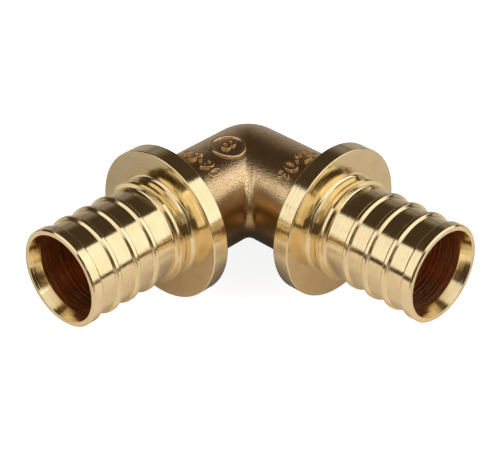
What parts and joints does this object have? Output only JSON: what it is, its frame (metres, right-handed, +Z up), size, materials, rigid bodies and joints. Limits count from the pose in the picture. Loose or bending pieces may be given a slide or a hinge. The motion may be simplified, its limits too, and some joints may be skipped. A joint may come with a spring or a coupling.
{
  "type": "pipe elbow fitting",
  "caption": "Right-angle elbow for two plastic pipes, with ribbed spigots, stop collars and flanges for sliding sleeves.",
  "frame": {"origin": "where the axes of the two arms cross", "axes": "+Z up as the loose elbow lies, on its heel and the back edges of both flanges; the left arm points to -X -Y and the right arm to +X -Y, and both rise 11.9 degrees towards their mouths"},
  "size_m": [0.0874, 0.0534, 0.0319],
  "materials": {
    "brass": "turned bright on spigots and flanges, blasted and matt on the forged bend"
  },
  "bodies": {
    "root": {"elbow_body": "brass"}
  },
  "joints": []
}
